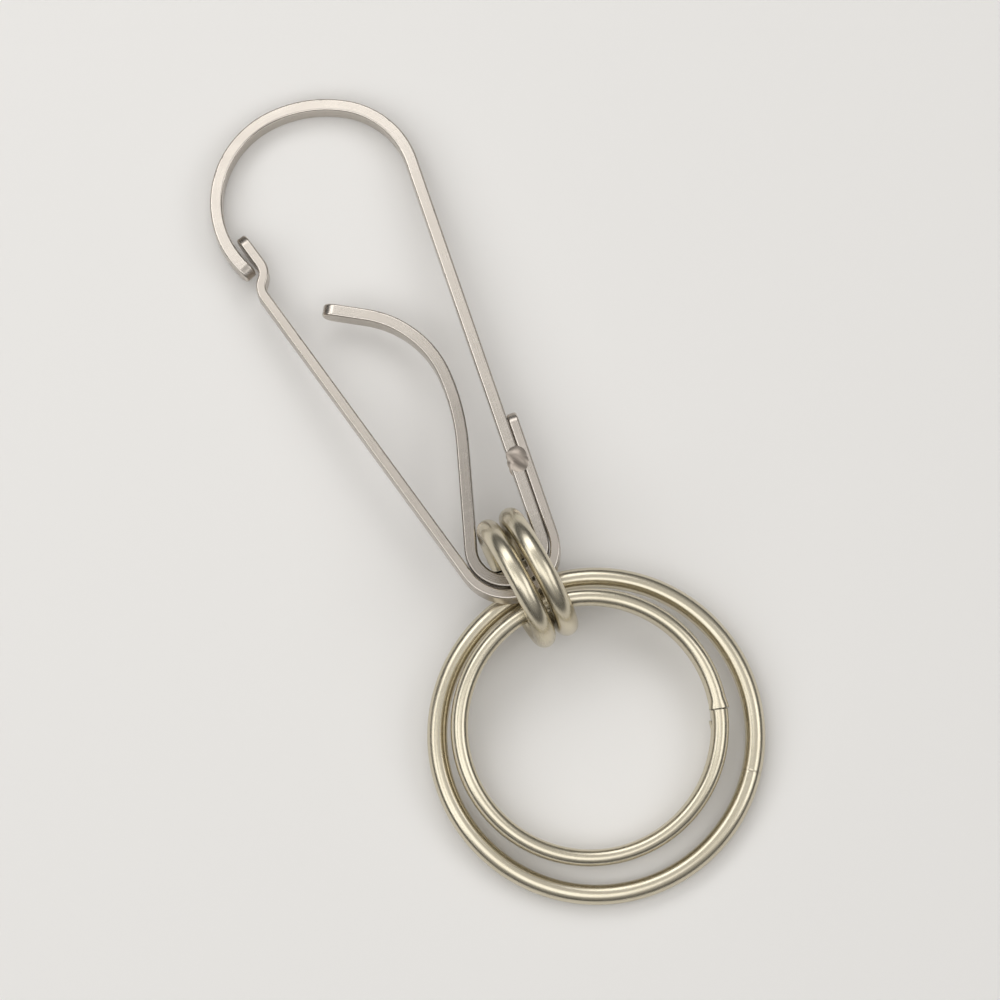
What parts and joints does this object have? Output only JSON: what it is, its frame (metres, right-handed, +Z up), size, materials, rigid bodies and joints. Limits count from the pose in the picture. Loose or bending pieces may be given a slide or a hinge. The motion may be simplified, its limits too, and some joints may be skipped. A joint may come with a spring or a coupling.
{
  "type": "carabiner keyring",
  "caption": "Snap hook bent from flat metal strip with a springy gate and an inner tongue; jump rings join it to a large key ring and a smaller split ring",
  "frame": {"origin": "middle of the object's outline on the table it lies on", "axes": "+Y runs along the hook from the key rings to its round crown, +X to the spine's side, +Z up from the table"},
  "size_m": [0.04, 0.1052, 0.0168],
  "materials": {
    "hook_steel": "satin nickel plate on bent steel strip",
    "gate_steel": "satin nickel plate on spring steel strip",
    "weld_metal": "spot weld under the plating",
    "jump_ring_plating": "polished nickel plate",
    "key_ring_plating": "polished nickel plate",
    "split_ring_plating": "polished nickel plate"
  },
  "bodies": {
    "hook": {"hook_strip": "hook_steel", "gate_heel": "gate_steel", "weld_top": "weld_metal", "weld_bottom": "weld_metal"},
    "gate": {"gate_leg": "gate_steel"},
    "jump_left": {"jump_ring_left": "jump_ring_plating"},
    "jump_right": {"jump_ring_right": "jump_ring_plating"},
    "large_ring": {"large_key_ring": "key_ring_plating"},
    "small_ring": {"small_split_ring": "split_ring_plating"}
  },
  "joints": [
    {"name": "gate_press", "type": "hinge", "parent": "hook", "child": "gate", "pos_m": [-0.00394, -0.00927, 0.00664], "axis": [0, -0.0847, -0.9964], "range_deg": [0, 5.6], "stiffness_Nm_per_rad": 0.2, "springref_deg": -1.15},
    {"name": "jump_left_swing", "type": "hinge", "parent": "hook", "child": "jump_left", "pos_m": [-0.0001, -0.01296, 0.00695], "axis": [1, 0, 0], "range_deg": [-5, 20]},
    {"name": "jump_right_swing", "type": "hinge", "parent": "hook", "child": "jump_right", "pos_m": [0.00291, -0.01296, 0.00695], "axis": [1, 0, 0], "range_deg": [-5, 20]},
    {"name": "large_ring_swing", "type": "hinge", "parent": "jump_left", "child": "large_ring", "pos_m": [0.0014, -0.01396, 0.00408], "axis": [0.9972, -0.075, 0], "range_deg": [-30, 85]},
    {"name": "small_ring_lift", "type": "hinge", "parent": "jump_left", "child": "small_ring", "pos_m": [0.0014, -0.01296, 0.0084], "axis": [-1, 0, 0], "range_deg": [0, 100]}
  ],
  "couplings": [
    {"joint": "jump_right_swing", "follows": "jump_left_swing", "ratio": 1}
  ]
}
